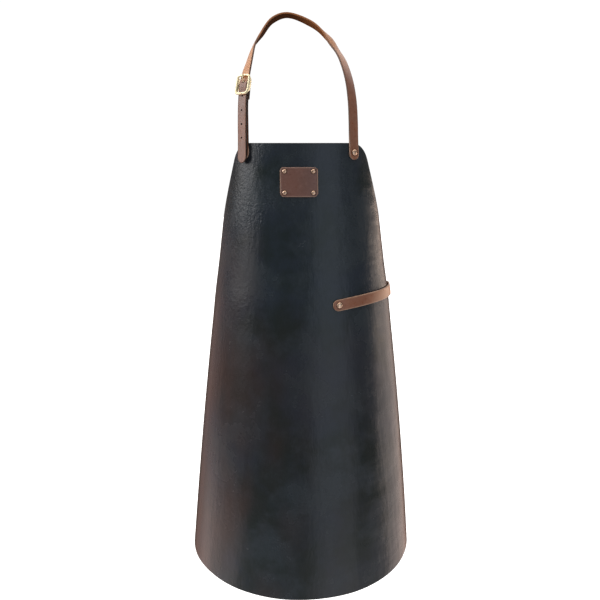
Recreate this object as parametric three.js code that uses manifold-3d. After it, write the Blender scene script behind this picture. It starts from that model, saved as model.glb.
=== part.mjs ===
// Full-length leather work apron: a smooth hide body with a bib, a riveted label patch, a towel
// strap on the hip and a neck strap that closes with a centre-bar buckle.
// Millimetres. +X is right in a front view, +Y points to the wearer's back, +Z is up.
// The pieces are laid out from the middle of the bib's top edge, and the finished apron is moved
// so that its origin is where the neck strap rests on the nape.

import * as THREE from 'three';
import { mergeVertices } from 'three/addons/utils/BufferGeometryUtils.js';
import Module from 'manifold-3d';

const wasm = await Module();
wasm.setup();

// Apron body: level sections are ellipses that open out and turn round towards the hem
const BODY_LENGTH = 791;
const BODY_WALL = 2.4;
const TOP_HALF_WIDTH = 124.5;
const HEM_HALF_WIDTH = 219.5;
const SIDE_BOW = 7.7;
const HIP_SHIFT = 2.4;
const TOP_ROUNDNESS = 0.66;
const HEM_ROUNDNESS = 1;

// Cut outline of the flat leather: half widths run round the outside, drops run down from the top
const TOP_EDGE_HALF = 92;
const BIB_CORNER_RADIUS = 48;
const ARMHOLE_SLOPE = 0.4;
const ARMHOLE_REACH = 80;
const ARMHOLE_PULL = { half: 232, drop: 228 };
const WAIST_TOP = { half: 303, drop: 252 };
const WAIST_CORNER = { half: 317, drop: 257 };
const WAIST_SIDE = { half: 317, drop: 274 };
const HEM_HALF = 345;
const HEM_CORNER_RADIUS = 24;
const EDGE_STEPS = [5, 7, 3, 12, 4];
const BODY_COLUMNS = 36;

// Straps
const STRAP_WIDTH = 20;
const NECK_STRAP_WALL = 3;
const BUCKLE_STRAP_WALL = 2;
const TOWEL_STRAP_WALL = 3;
const SEAT_GAP = 0.3;

// Neck strap ends on the bib
const RIGHT_END = { arc: 97, endDrop: 29, rivetDrop: 17 };
const LEFT_END = { arc: -104, endDrop: 35, strapDrop: 28, rivetDrop: 15 };
const END_RUN = [12, -12];
const TIP_ROOM = 3.4;

// Free run of the neck strap from the right of the bib over the neck to the left, in front-view
// terms: x right, y back, z above the bib's top edge; turn and lean aim the outer face, turn from
// the front towards the right and lean upwards, in degrees
const NECK_RUN = [
  { x: 92, y: -50.5, z: 36, turn: 37, lean: 9 },
  { x: 90, y: -44, z: 71.5, turn: 40, lean: 10 },
  { x: 84.5, y: -36, z: 106.5, turn: 46, lean: 15 },
  { x: 74, y: -19, z: 141, turn: 52, lean: 27 },
  { x: 63, y: -1.5, z: 162.5, turn: 59, lean: 35 },
  { x: 43.5, y: 22, z: 189.5, turn: 126, lean: 57 },
  { x: 19, y: 38, z: 210.5, turn: 142, lean: 62 },
  { x: -25, y: 48, z: 227, turn: 180, lean: 75 },
  { x: -51, y: 43, z: 217.5, turn: 208, lean: 63 },
  { x: -69.5, y: 25, z: 192.5, turn: 238, lean: 42 },
  { x: -82.5, y: -4, z: 168, turn: 273, lean: 34 },
  { x: -90, y: -28, z: 137.5, turn: 301, lean: 22 },
  { x: -95.2, y: -35.2, z: 115, turn: 316, lean: 16 },
  { x: -98.5, y: -38.8, z: 98, turn: 318.5, lean: 16 },
  { x: -100.4, y: -42.2, z: 81, turn: 319, lean: 15.5 },
  { x: -101.6, y: -45.6, z: 63, turn: 320, lean: 13 },
  { x: -102, y: -52, z: 28, turn: 321, lean: 10 },
];
const BUCKLE_ROW = 13;
const HOLE_COUNT = 4;
const HOLE_PITCH = 24;
const HOLE_RADIUS = 1.75;
const PRONG_HOLE_RISE = 4.5;

// Centre-bar buckle, in its own frame: x across the strap, y up along it, z out of its face
const FRAME_HALF_WIDTH = 14.3;
const FRAME_HALF_HEIGHT = 15.8;
const FRAME_WIRE = 2;
const FRAME_ARCH = 0.8;
const FRAME_SQUARENESS = 6;
const BAR_RADIUS = 1.1;
const BAR_DEPTH = 7.7;
const BAR_LEG_INSET = 1.1;
const METAL_GAP = 0.3;
const PRONG_RADIUS = 0.95;
const PRONG_SLOT = 1.6;
const PRONG_BEND = { leave: 27, rise: 6, height: 2.4 };

// Fold of the buckle strap round the bar: gaps to the neck strap and between its two legs, and
// how far the rivet and the end lie below the bar
const FOLD_STRAP_GAP = 1.6;
const FOLD_LEG_GAP = 0.45;
const FOLD_RIVET_RISE = -20;
const FOLD_END_RISE = -24.5;

// Label patch on the bib
const LABEL_ARC = -3.5;
const LABEL_DROP = 66;
const LABEL_WIDTH = 65;
const LABEL_HEIGHT = 50;
const LABEL_WALL = 2.4;
const LABEL_CORNER = 7;
const LABEL_RIVET_SPREAD = { arc: 24.5, drop: 18 };

// Towel strap round the right hip: arc and drop on the body, gap between leather and strap
const TOWEL_RUN = [
  { arc: 55, drop: 278.5, gap: 0.4 },
  { arc: 66, drop: 277, gap: 0.4 },
  { arc: 84, drop: 275, gap: 0.6 },
  { arc: 125, drop: 271.5, gap: 1.4 },
  { arc: 172, drop: 270, gap: 1.9 },
  { arc: 214, drop: 270.5, gap: 1.8 },
  { arc: 232, drop: 271.5, gap: 2.7 },
  { arc: 247, drop: 273, gap: 5.6 },
  { arc: 259, drop: 274.5, gap: 7.8 },
  { arc: 270, drop: 275.5, gap: 4.6 },
  { arc: 280, drop: 276.5, gap: 0.8 },
  { arc: 289, drop: 277.5, gap: 0.4 },
  { arc: 301, drop: 279, gap: 0.4 },
];
const TOWEL_RIVET_ROWS = [1, 11];

// Rivets: domed heads in front, flat caps behind
const LARGE_RIVET = { head: 5.5, height: 2.3, post: 1.6, cap: 4.6, capHeight: 0.8 };
const SMALL_RIVET = { head: 3.8, height: 1.7, post: 1.2, cap: 3.2, capHeight: 0.7 };
const FLAT_RIVET = { head: 2.6, height: 0.9, post: 1.2, cap: 2.6, capHeight: 0.8 };
const RIVET_GAP = 0.3;
const CAP_GAP = 0.6;

const HIDE_BLACK = 0x2a2d30;
const HARNESS_BROWN = 0x65432f;
const LABEL_BROWN = 0x5e4238;
const BRASS = 0xd2b06a;
const COPPER_NICKEL = 0xb8957a;

const UP = new THREE.Vector3(0, 1, 0);
const ROUTE_STEPS = 60;

function leather(color, roughness) {
  return new THREE.MeshStandardMaterial({ color, roughness, metalness: 0 });
}

function metal(color) {
  return new THREE.MeshStandardMaterial({ color, roughness: 0.3, metalness: 1 });
}

// A closed sheet: a grid of outer points, a grid of inner points and the rim between them.
// Rows and columns turn so that the outer grid faces away from the inner one.
function sheetGeometry(rows, columns, pointAt) {
  const positions = [];
  for (const side of [0, 1]) {
    for (let row = 0; row <= rows; row += 1) {
      for (let column = 0; column <= columns; column += 1) {
        positions.push(...pointAt(row, column, side));
      }
    }
  }
  const innerStart = (rows + 1) * (columns + 1);
  const outer = (row, column) => row * (columns + 1) + column;
  const inner = (row, column) => innerStart + outer(row, column);
  const triangles = [];
  const rim = (fromRow, fromColumn, toRow, toColumn) => {
    const [a, b] = [outer(fromRow, fromColumn), outer(toRow, toColumn)];
    const [c, d] = [inner(fromRow, fromColumn), inner(toRow, toColumn)];
    triangles.push(a, c, d, a, d, b);
  };
  for (let row = 0; row < rows; row += 1) {
    for (let column = 0; column < columns; column += 1) {
      const corners = [[row, column], [row + 1, column], [row + 1, column + 1], [row, column + 1]];
      const [a, b, c, d] = corners.map((corner) => outer(...corner));
      const [e, f, g, h] = corners.map((corner) => inner(...corner));
      triangles.push(a, b, c, a, c, d, e, g, f, e, h, g);
    }
    rim(row, 0, row + 1, 0);
    rim(row + 1, columns, row, columns);
  }
  for (let column = 0; column < columns; column += 1) {
    rim(0, column + 1, 0, column);
    rim(rows, column, rows, column + 1);
  }
  const geometry = new THREE.BufferGeometry();
  geometry.setAttribute('position', new THREE.Float32BufferAttribute(positions, 3));
  geometry.setIndex(triangles);
  return geometry;
}

function toSolid(source) {
  const bare = source.clone();
  bare.deleteAttribute('normal');
  bare.deleteAttribute('uv');
  const merged = mergeVertices(bare, 1e-4);
  return new wasm.Manifold(new wasm.Mesh({
    numProp: 3,
    vertProperties: new Float32Array(merged.attributes.position.array),
    triVerts: new Uint32Array(merged.index.array),
  }));
}

function toGeometry(solid) {
  const mesh = solid.getMesh();
  const geometry = new THREE.BufferGeometry();
  geometry.setAttribute('position', new THREE.BufferAttribute(mesh.vertProperties, 3));
  geometry.setIndex(new THREE.BufferAttribute(mesh.triVerts, 1));
  return geometry;
}

function cut(geometry, cutters) {
  return toGeometry(cutters.reduce((solid, cutter) => solid.subtract(toSolid(cutter)), toSolid(geometry)));
}

function join(geometries) {
  return toGeometry(geometries.map(toSolid).reduce((whole, solid) => whole.add(solid)));
}

// A round peg through a point, along a direction
function peg(point, direction, radius, length) {
  const geometry = new THREE.CylinderGeometry(radius, radius, length, 8);
  geometry.applyQuaternion(new THREE.Quaternion().setFromUnitVectors(UP, direction));
  return geometry.translate(...point);
}

// Body surface
function halfWidthAt(drop) {
  const share = drop / BODY_LENGTH;
  const straight = THREE.MathUtils.lerp(TOP_HALF_WIDTH, HEM_HALF_WIDTH, share);
  return straight + 4 * SIDE_BOW * share * (1 - share);
}

function depthAt(drop) {
  return halfWidthAt(drop) * THREE.MathUtils.lerp(TOP_ROUNDNESS, HEM_ROUNDNESS, drop / BODY_LENGTH);
}

// Angle round a section at which its outside has run the given length from the front line
function angleAtArc(arc, halfWidth, depth) {
  const step = 0.01;
  let angle = 0;
  let rest = Math.abs(arc);
  for (;;) {
    const middle = angle + step / 2;
    const run = step * Math.hypot(halfWidth * Math.cos(middle), depth * Math.sin(middle));
    if (run >= rest) {
      return Math.sign(arc) * (angle + (step * rest) / run);
    }
    rest -= run;
    angle += step;
  }
}

// A place on the body, lifted off its outside, and the way that the leather faces there
function seat(arc, drop, lift) {
  const halfWidth = halfWidthAt(drop);
  const depth = depthAt(drop);
  const angle = angleAtArc(arc, halfWidth, depth);
  const [sin, cos] = [Math.sin(angle), Math.cos(angle)];
  const widening = halfWidthAt(drop + 0.5) - halfWidthAt(drop - 0.5);
  const deepening = depthAt(drop + 0.5) - depthAt(drop - 0.5);
  const downhill = new THREE.Vector3(widening * sin, -deepening * cos, -1);
  const sideways = new THREE.Vector3(halfWidth * cos, depth * sin, 0);
  const facing = downhill.cross(sideways).normalize();
  const share = drop / BODY_LENGTH;
  const middle = 4 * HIP_SHIFT * share * (1 - share);
  const point = new THREE.Vector3(middle + halfWidth * sin, -depth * cos, -drop);
  return { point: point.addScaledVector(facing, lift), facing };
}

// Right half of the cut outline, from the top edge round the armhole and down to the hem
function cutOutline() {
  const cornerEnd = Math.atan(ARMHOLE_SLOPE);
  const cornerHalf = TOP_EDGE_HALF + BIB_CORNER_RADIUS * Math.cos(cornerEnd);
  const cornerDrop = BIB_CORNER_RADIUS * (1 - Math.sin(cornerEnd));
  const outline = new THREE.Path();
  outline.moveTo(TOP_EDGE_HALF, 0);
  outline.absarc(TOP_EDGE_HALF, -BIB_CORNER_RADIUS, BIB_CORNER_RADIUS, Math.PI / 2, cornerEnd, true);
  outline.bezierCurveTo(
    cornerHalf + ARMHOLE_SLOPE * ARMHOLE_REACH, -cornerDrop - ARMHOLE_REACH,
    ARMHOLE_PULL.half, -ARMHOLE_PULL.drop,
    WAIST_TOP.half, -WAIST_TOP.drop,
  );
  outline.quadraticCurveTo(WAIST_CORNER.half, -WAIST_CORNER.drop, WAIST_SIDE.half, -WAIST_SIDE.drop);
  outline.lineTo(HEM_HALF, HEM_CORNER_RADIUS - BODY_LENGTH);
  outline.quadraticCurveTo(HEM_HALF, -BODY_LENGTH, HEM_HALF - HEM_CORNER_RADIUS, -BODY_LENGTH);
  return outline.curves.flatMap((curve, index) => (
    curve.getPoints(EDGE_STEPS[index]).slice(index ? 1 : 0)
  ));
}

function bodyGeometry(rivetSeats) {
  const outline = cutOutline();
  const sheet = sheetGeometry(outline.length - 1, BODY_COLUMNS, (row, column, side) => {
    const { x: half, y: height } = outline[row];
    const arc = half * ((2 * column) / BODY_COLUMNS - 1);
    return seat(arc, -height, -side * BODY_WALL).point;
  });
  return cut(sheet, rivetSeats.map(({ point, facing, size }) => (
    peg(point, facing, size.post + RIVET_GAP, 8 * BODY_WALL)
  )));
}

// Strap routes: a smooth line through hand-set rows, with the way that the outer face looks
function strapRoute(rows) {
  const path = new THREE.CatmullRomCurve3(rows.map((row) => row.point));
  const facings = new THREE.CatmullRomCurve3(rows.map((row) => row.facing));
  path.arcLengthDivisions = ROUTE_STEPS * (rows.length - 1);
  const lengths = path.getLengths();
  return {
    length: path.getLength(),
    lengthToRow: (row) => lengths[ROUTE_STEPS * row],
    frameAt: (along) => {
      const t = path.getUtoTmapping(0, along);
      const tangent = path.getTangent(t);
      const facing = facings.getPoint(t);
      facing.addScaledVector(tangent, -facing.dot(tangent)).normalize();
      const across = new THREE.Vector3().crossVectors(facing, tangent);
      return { point: path.getPoint(t), tangent, facing, across };
    },
  };
}

function freeRow({ x, y, z, turn, lean }) {
  const [turned, leaned] = [turn, lean].map(THREE.MathUtils.degToRad);
  const level = Math.cos(leaned);
  const facing = new THREE.Vector3(Math.sin(turned) * level, -Math.cos(turned) * level, Math.sin(leaned));
  return { point: new THREE.Vector3(x, y, z), facing };
}

// Stations along a strap with the half width at each: round ends run in on a half circle
function stations(length, step, roundStart, roundEnd) {
  const radius = STRAP_WIDTH / 2;
  const roundAngles = [10, 30, 50, 70, 90].map(THREE.MathUtils.degToRad);
  const round = roundAngles.map((angle) => (
    { along: radius * (1 - Math.cos(angle)), half: radius * Math.sin(angle) }
  ));
  const square = [{ along: 0, half: radius }];
  const start = roundStart ? round : square;
  const end = (roundEnd ? round : square).map(({ along, half }) => ({ along: length - along, half }));
  const from = start.at(-1).along;
  const to = end.at(-1).along;
  const count = Math.round((to - from) / step);
  const middle = Array.from({ length: count - 1 }, (_, index) => (
    { along: THREE.MathUtils.lerp(from, to, (index + 1) / count), half: radius }
  ));
  return [...start, ...middle, ...end.reverse()];
}

// A flat strap: frameAt gives the middle of its thickness and the direction across it
function strapGeometry(marks, wall, frameAt) {
  const frames = marks.map((mark) => ({ ...frameAt(mark.along), half: mark.half }));
  const last = frames.length - 1;
  frames.forEach((frame, index) => {
    const ahead = frames[Math.min(index + 1, last)].point;
    const behind = frames[Math.max(index - 1, 0)].point;
    const tangent = new THREE.Vector3().subVectors(ahead, behind).normalize();
    frame.side = frame.across.clone().addScaledVector(tangent, -frame.across.dot(tangent)).normalize();
    frame.out = new THREE.Vector3().crossVectors(tangent, frame.side);
  });
  return sheetGeometry(last, 1, (row, column, side) => {
    const { point, side: sideways, out, half } = frames[row];
    return point.clone()
      .addScaledVector(sideways, half * (2 * column - 1))
      .addScaledVector(out, wall * (0.5 - side));
  });
}

// Rivet: flat cap behind, post through the leather, domed head; the head's underside is at zero
function rivetGeometry({ head, height, post, cap, capHeight }, grip, segments) {
  const dome = [0, 0.4, 0.75].map((share) => {
    const angle = (share * Math.PI) / 2;
    return new THREE.Vector2(head * Math.cos(angle), height * (0.25 + 0.75 * Math.sin(angle)));
  });
  const profile = [
    new THREE.Vector2(0, -grip - capHeight),
    new THREE.Vector2(cap, -grip - capHeight),
    new THREE.Vector2(cap, -grip),
    new THREE.Vector2(post, -grip),
    new THREE.Vector2(post, 0),
    new THREE.Vector2(head, 0),
    ...dome,
    new THREE.Vector2(0, height),
  ];
  return new THREE.LatheGeometry(profile, segments);
}

function rivet(name, { point, facing }, size, grip, material) {
  const mesh = new THREE.Mesh(rivetGeometry(size, grip, size.head > 4 ? 12 : 9), material);
  mesh.name = name;
  mesh.position.copy(point);
  mesh.quaternion.setFromUnitVectors(UP, facing);
  return mesh;
}

function piece(name, geometry, material) {
  const mesh = new THREE.Mesh(geometry, material);
  mesh.name = name;
  return mesh;
}

// Label patch: a rounded rectangle that follows the bib
function labelGeometry(rivetSeats) {
  const cornerRows = [0, 0.25, 0.6, 1];
  const inset = (share) => LABEL_CORNER * (1 - Math.sqrt(1 - (1 - share) ** 2));
  const top = cornerRows.map((share) => (
    { drop: LABEL_CORNER * share - LABEL_HEIGHT / 2, half: LABEL_WIDTH / 2 - inset(share) }
  ));
  const bottom = top.map(({ drop, half }) => ({ drop: -drop, half })).reverse();
  const rows = [...top, { drop: 0, half: LABEL_WIDTH / 2 }, ...bottom];
  const columns = 8;
  const sheet = sheetGeometry(rows.length - 1, columns, (row, column, side) => {
    const arc = LABEL_ARC + rows[row].half * ((2 * column) / columns - 1);
    return seat(arc, LABEL_DROP + rows[row].drop, SEAT_GAP + LABEL_WALL * (1 - side)).point;
  });
  return cut(sheet, rivetSeats.map(({ point, facing, size }) => (
    peg(point, facing, size.post + RIVET_GAP, 8 * LABEL_WALL)
  )));
}

// Seats of the rivets that go through the body, lifted to the underside of their heads
const throughStrap = (wall) => SEAT_GAP + wall + RIVET_GAP;
const rivetSeats = {
  neckRight: {
    ...seat(RIGHT_END.arc, RIGHT_END.rivetDrop, throughStrap(NECK_STRAP_WALL)),
    size: LARGE_RIVET,
    wall: NECK_STRAP_WALL,
  },
  neckLeft: {
    ...seat(LEFT_END.arc, LEFT_END.rivetDrop, SEAT_GAP + throughStrap(BUCKLE_STRAP_WALL)),
    size: LARGE_RIVET,
    wall: SEAT_GAP + BUCKLE_STRAP_WALL,
  },
};
const labelSeats = [[-1, -1], [1, -1], [-1, 1], [1, 1]].map(([side, level]) => ({
  ...seat(
    LABEL_ARC + side * LABEL_RIVET_SPREAD.arc,
    LABEL_DROP + level * LABEL_RIVET_SPREAD.drop,
    throughStrap(LABEL_WALL),
  ),
  size: SMALL_RIVET,
  wall: LABEL_WALL,
}));
const towelSeats = TOWEL_RIVET_ROWS.map((index) => {
  const { arc, drop, gap } = TOWEL_RUN[index];
  return {
    ...seat(arc, drop, gap + TOWEL_STRAP_WALL + RIVET_GAP),
    size: LARGE_RIVET,
    wall: TOWEL_STRAP_WALL + gap - SEAT_GAP,
  };
});

// Neck strap route: seated rows on the right of the bib, the free run, seated rows on the left
const tipLift = 2 * SEAT_GAP + BUCKLE_STRAP_WALL + TIP_ROOM + NECK_STRAP_WALL / 2;
const rightLift = SEAT_GAP + NECK_STRAP_WALL / 2;
const neckRows = [
  ...[RIGHT_END.endDrop, ...END_RUN].map((drop) => seat(RIGHT_END.arc, drop, rightLift)),
  ...NECK_RUN.map(freeRow),
  ...[...END_RUN].reverse().concat(LEFT_END.endDrop).map((drop) => seat(LEFT_END.arc, drop, tipLift)),
];
const neckRoute = strapRoute(neckRows);
const buckleAlong = neckRoute.lengthToRow(BUCKLE_ROW + 1 + END_RUN.length);

// Height of things on the buckle above the neck strap's own line
const frameLift = NECK_STRAP_WALL / 2 + METAL_GAP + FRAME_WIRE;
const barLift = frameLift - BAR_DEPTH;
const wrapRadius = BAR_RADIUS + METAL_GAP + BUCKLE_STRAP_WALL / 2;
const strapWave = barLift + wrapRadius + BUCKLE_STRAP_WALL / 2 + METAL_GAP + NECK_STRAP_WALL / 2;

// The neck strap rides over the centre bar and under the two ends of the frame
function neckFrame(along) {
  const frame = neckRoute.frameAt(along);
  const share = (buckleAlong - along) / (FRAME_HALF_HEIGHT - FRAME_WIRE);
  const rise = Math.abs(share) < 1 ? strapWave * Math.cos((share * Math.PI) / 2) ** 2 : 0;
  frame.point.addScaledVector(frame.facing, rise);
  return frame;
}

const buckleFrame = neckRoute.frameAt(buckleAlong);
const bucklePlace = new THREE.Matrix4()
  .makeBasis(buckleFrame.across, buckleFrame.tangent.clone().negate(), buckleFrame.facing)
  .setPosition(buckleFrame.point.clone().addScaledVector(buckleFrame.facing, frameLift));

function frameGeometry() {
  class FrameLoop extends THREE.Curve {
    getPoint(t, target = new THREE.Vector3()) {
      const angle = 2 * Math.PI * t;
      const corner = (value) => Math.sign(value) * Math.abs(value) ** (2 / FRAME_SQUARENESS);
      const level = corner(Math.sin(angle));
      const arch = -FRAME_ARCH * Math.cos((level * Math.PI) / 2);
      return target.set(FRAME_HALF_WIDTH * corner(Math.cos(angle)), FRAME_HALF_HEIGHT * level, arch);
    }
  }
  const loop = new THREE.TubeGeometry(new FrameLoop(), 40, FRAME_WIRE, 8, true);
  const legOffset = FRAME_HALF_WIDTH - BAR_LEG_INSET;
  const bar = new THREE.CylinderGeometry(BAR_RADIUS, BAR_RADIUS, 2 * (legOffset + BAR_RADIUS), 10);
  bar.rotateZ(Math.PI / 2).translate(0, 0, -BAR_DEPTH);
  const legs = [-legOffset, legOffset].map((offset) => (
    new THREE.CylinderGeometry(BAR_RADIUS, BAR_RADIUS, BAR_DEPTH, 8)
      .rotateX(Math.PI / 2)
      .translate(offset, 0, -BAR_DEPTH / 2)
  ));
  return join([loop, bar, ...legs]);
}

// The prong: an eye round the centre bar and a bent pin that rests on the frame's top end
function prongGeometry(radius) {
  const eyeRadius = BAR_RADIUS + METAL_GAP + PRONG_RADIUS;
  const eye = new THREE.TorusGeometry(eyeRadius, PRONG_RADIUS, 8, 16);
  eye.rotateY(Math.PI / 2).translate(0, 0, -BAR_DEPTH);
  const leave = THREE.MathUtils.degToRad(PRONG_BEND.leave);
  const tipHeight = FRAME_WIRE + METAL_GAP + PRONG_RADIUS;
  const bend = new THREE.QuadraticBezierCurve3(
    new THREE.Vector3(0, eyeRadius * Math.cos(leave), eyeRadius * Math.sin(leave) - BAR_DEPTH),
    new THREE.Vector3(0, PRONG_BEND.rise, PRONG_BEND.height),
    new THREE.Vector3(0, FRAME_HALF_HEIGHT + 1, tipHeight),
  );
  const section = new THREE.Shape().absarc(0, 0, radius, 0, 2 * Math.PI, false);
  const pin = new THREE.ExtrudeGeometry(section, { extrudePath: bend, steps: 10, curveSegments: 4 });
  return join([eye, pin]);
}

function neckStrapGeometry() {
  const marks = stations(neckRoute.length, 5, true, true);
  const strap = strapGeometry(marks, NECK_STRAP_WALL, neckFrame);
  const holes = Array.from({ length: HOLE_COUNT }, (_, index) => {
    const rise = PRONG_HOLE_RISE - HOLE_PITCH * (index + 1);
    const { point, facing } = neckFrame(buckleAlong - rise);
    return peg(point, facing, HOLE_RADIUS, 4 * NECK_STRAP_WALL);
  });
  const prongRoom = prongGeometry(PRONG_RADIUS + 2 * METAL_GAP).applyMatrix4(bucklePlace);
  const { point, facing, size } = rivetSeats.neckRight;
  const rivetHole = peg(point, facing, size.post + RIVET_GAP, 4 * NECK_STRAP_WALL);
  return cut(strap, [...holes, prongRoom, rivetHole]);
}

// Buckle strap: up from the bib behind the neck strap, round the centre bar and back down.
// Rows give the rise along the neck strap above the bar, and the height off its line.
const besideStrap = -(NECK_STRAP_WALL / 2 + FOLD_STRAP_GAP + BUCKLE_STRAP_WALL / 2);
const behindStrap = besideStrap - BUCKLE_STRAP_WALL - FOLD_LEG_GAP;
const onBib = -(NECK_STRAP_WALL / 2 + TIP_ROOM + BUCKLE_STRAP_WALL / 2);
const strapStartRise = buckleAlong - neckRoute.length + LEFT_END.endDrop - LEFT_END.strapDrop;
const wrapRows = [100, 55, 10, -35, -80].map((degrees) => {
  const angle = THREE.MathUtils.degToRad(degrees);
  return { rise: wrapRadius * Math.cos(angle), off: barLift + wrapRadius * Math.sin(angle) };
});
const foldRows = [
  { rise: strapStartRise, off: onBib },
  { rise: strapStartRise + 25, off: onBib },
  { rise: strapStartRise / 2, off: (onBib + besideStrap) / 2 },
  { rise: -32, off: besideStrap },
  { rise: -19, off: besideStrap },
  { rise: -13, off: besideStrap + 0.3 },
  { rise: -7, off: barLift + 1.5 },
  ...wrapRows,
  { rise: -5, off: behindStrap },
  { rise: -13, off: behindStrap },
  { rise: FOLD_RIVET_RISE, off: behindStrap },
  { rise: FOLD_END_RISE, off: behindStrap },
];

function buckleStrapGeometry(foldSeat) {
  const profile = new THREE.CatmullRomCurve3(foldRows.map(({ rise, off }) => new THREE.Vector3(rise, off, 0)));
  profile.arcLengthDivisions = 600;
  const length = profile.getLength();
  const frameAt = (along) => {
    const { x: rise, y: off } = profile.getPointAt(Math.min(along / length, 1));
    const { point, facing, across } = neckRoute.frameAt(buckleAlong - rise);
    return { point: point.addScaledVector(facing, off), across: across.negate() };
  };
  const strap = strapGeometry(stations(length, 2, true, false), BUCKLE_STRAP_WALL, frameAt);
  const slot = new THREE.BoxGeometry(2 * PRONG_SLOT, 4 * wrapRadius, 4 * wrapRadius);
  slot.translate(0, 0, -BAR_DEPTH).applyMatrix4(bucklePlace);
  const bibSeat = rivetSeats.neckLeft;
  return cut(strap, [
    slot,
    peg(bibSeat.point, bibSeat.facing, bibSeat.size.post + RIVET_GAP, 4 * BUCKLE_STRAP_WALL),
    peg(foldSeat.point, foldSeat.facing, FLAT_RIVET.post + RIVET_GAP, 8 * BUCKLE_STRAP_WALL),
  ]);
}

function foldRivetSeat() {
  const { point, facing } = neckRoute.frameAt(buckleAlong - FOLD_RIVET_RISE);
  const height = besideStrap + BUCKLE_STRAP_WALL / 2 + RIVET_GAP;
  return { point: point.addScaledVector(facing, height), facing };
}

// Towel strap: seated at both ends and standing off the hip between them
const towelRows = TOWEL_RUN.map(({ arc, drop, gap }) => seat(arc, drop, gap + TOWEL_STRAP_WALL / 2));
const towelRoute = strapRoute(towelRows);

function towelStrapGeometry() {
  const marks = stations(towelRoute.length, 6, true, true);
  const strap = strapGeometry(marks, TOWEL_STRAP_WALL, towelRoute.frameAt);
  return cut(strap, towelSeats.map(({ point, facing, size }) => (
    peg(point, facing, size.post + RIVET_GAP, 4 * TOWEL_STRAP_WALL)
  )));
}

function buckleGroup() {
  const group = new THREE.Group();
  group.applyMatrix4(bucklePlace);
  group.add(piece('buckle_frame', frameGeometry(), metal(BRASS)));
  group.add(piece('buckle_prong', prongGeometry(PRONG_RADIUS), metal(BRASS)));
  return group;
}

// Depth from a head's underside to the cap behind, for a rivet through a strap and the body
function grip(wall) {
  return RIVET_GAP + wall + SEAT_GAP + BODY_WALL + CAP_GAP;
}

function apron() {
  const group = new THREE.Group();
  const bodySeats = [rivetSeats.neckRight, rivetSeats.neckLeft, ...labelSeats, ...towelSeats];
  const foldSeat = foldRivetSeat();
  const foldGrip = 2 * RIVET_GAP + BUCKLE_STRAP_WALL + besideStrap - behindStrap;
  group.add(piece('apron_body', bodyGeometry(bodySeats), leather(HIDE_BLACK, 0.5)));
  group.add(piece('neck_strap', neckStrapGeometry(), leather(HARNESS_BROWN, 0.5)));
  group.add(piece('buckle_strap', buckleStrapGeometry(foldSeat), leather(HARNESS_BROWN, 0.5)));
  group.add(piece('towel_strap', towelStrapGeometry(), leather(HARNESS_BROWN, 0.5)));
  group.add(piece('label_patch', labelGeometry(labelSeats), leather(LABEL_BROWN, 0.55)));
  group.add(buckleGroup());
  const riveted = [
    ['neck_rivet_right', rivetSeats.neckRight],
    ['neck_rivet_left', rivetSeats.neckLeft],
    ...labelSeats.map((place, index) => [`label_rivet_${index + 1}`, place]),
    ...towelSeats.map((place, index) => [`towel_rivet_${['front', 'back'][index]}`, place]),
  ];
  for (const [name, place] of riveted) {
    group.add(rivet(name, place, place.size, grip(place.wall), metal(COPPER_NICKEL)));
  }
  group.add(rivet('buckle_fold_rivet', foldSeat, FLAT_RIVET, foldGrip, metal(COPPER_NICKEL)));
  return group;
}

// The neck rest: the middle of the strap's inner face, in the apron's own middle plane
function neckRest() {
  const tries = 400;
  const frames = Array.from({ length: tries }, (_, index) => (
    neckRoute.frameAt(THREE.MathUtils.lerp(0.3, 0.6, index / tries) * neckRoute.length)
  ));
  const { point, facing } = frames.reduce((best, frame) => (
    Math.abs(frame.point.x) < Math.abs(best.point.x) ? frame : best
  ));
  return point.clone().addScaledVector(facing, -NECK_STRAP_WALL / 2).setX(0);
}

const wornApron = apron();
wornApron.position.copy(neckRest()).negate();

export default wornApron;
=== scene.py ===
import math

import bpy
import numpy as np
from mathutils import Matrix, Vector


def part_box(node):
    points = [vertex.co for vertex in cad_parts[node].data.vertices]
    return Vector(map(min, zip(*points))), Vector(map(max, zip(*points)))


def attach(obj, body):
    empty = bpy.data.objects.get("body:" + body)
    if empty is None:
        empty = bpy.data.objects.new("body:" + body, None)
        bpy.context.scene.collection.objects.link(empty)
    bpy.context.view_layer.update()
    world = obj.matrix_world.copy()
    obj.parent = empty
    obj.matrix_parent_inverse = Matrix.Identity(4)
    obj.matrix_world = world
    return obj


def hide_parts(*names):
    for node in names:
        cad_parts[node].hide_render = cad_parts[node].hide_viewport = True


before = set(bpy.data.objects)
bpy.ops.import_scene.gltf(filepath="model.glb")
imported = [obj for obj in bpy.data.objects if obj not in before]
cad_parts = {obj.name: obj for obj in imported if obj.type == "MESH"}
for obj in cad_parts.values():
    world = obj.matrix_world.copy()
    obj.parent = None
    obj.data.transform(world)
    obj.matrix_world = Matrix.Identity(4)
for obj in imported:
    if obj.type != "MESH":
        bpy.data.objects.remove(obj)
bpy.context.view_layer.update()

# Looks for a full-length leather work apron in its worn form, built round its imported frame.
# Sizes are in millimetres from the middle of the bib's top edge (x right, y back, z up), as the
# part is laid out, and to_frame() turns them into metres in the shared frame.

MM = 0.001

# Apron body
BODY_LENGTH = 791
BODY_WALL = 2.4
TOP_HALF_WIDTH = 124.5
HEM_HALF_WIDTH = 219.5
SIDE_BOW = 7.7
HIP_SHIFT = 2.4
TOP_ROUNDNESS = 0.66
HEM_ROUNDNESS = 1

# The body is measured round to this angle on each side, in radians, in so many steps
BODY_TURN = 2.6
BODY_TURN_STEPS = 1300

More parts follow.
